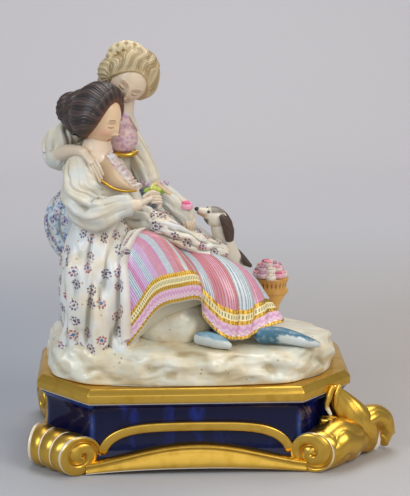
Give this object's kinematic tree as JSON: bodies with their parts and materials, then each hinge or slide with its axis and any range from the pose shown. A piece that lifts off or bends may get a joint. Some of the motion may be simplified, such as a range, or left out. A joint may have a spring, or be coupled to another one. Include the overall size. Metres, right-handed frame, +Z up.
{
  "type": "porcelain figure group",
  "caption": "Painted porcelain group of two women with a spaniel and a rose basket on a rocky terrace, on an octagonal cobalt and gilt plinth with scroll feet.",
  "frame": {"origin": "centre of the bounding box on the surface that the scroll feet stand on", "axes": "+Z up, -Y towards the front of the group, +X towards the side with the gilt acanthus bracket"},
  "size_m": [0.2302, 0.144, 0.253],
  "materials": {
    "cobalt_and_gilt": "high-gloss cobalt glaze with burnished gilt mouldings, scrolls and bracket",
    "painted_porcelain": "cream white porcelain with enamel painting and gilt edges, soft gloss"
  },
  "bodies": {
    "root": {"plinth": "cobalt_and_gilt", "figure_group": "painted_porcelain"}
  },
  "joints": []
}
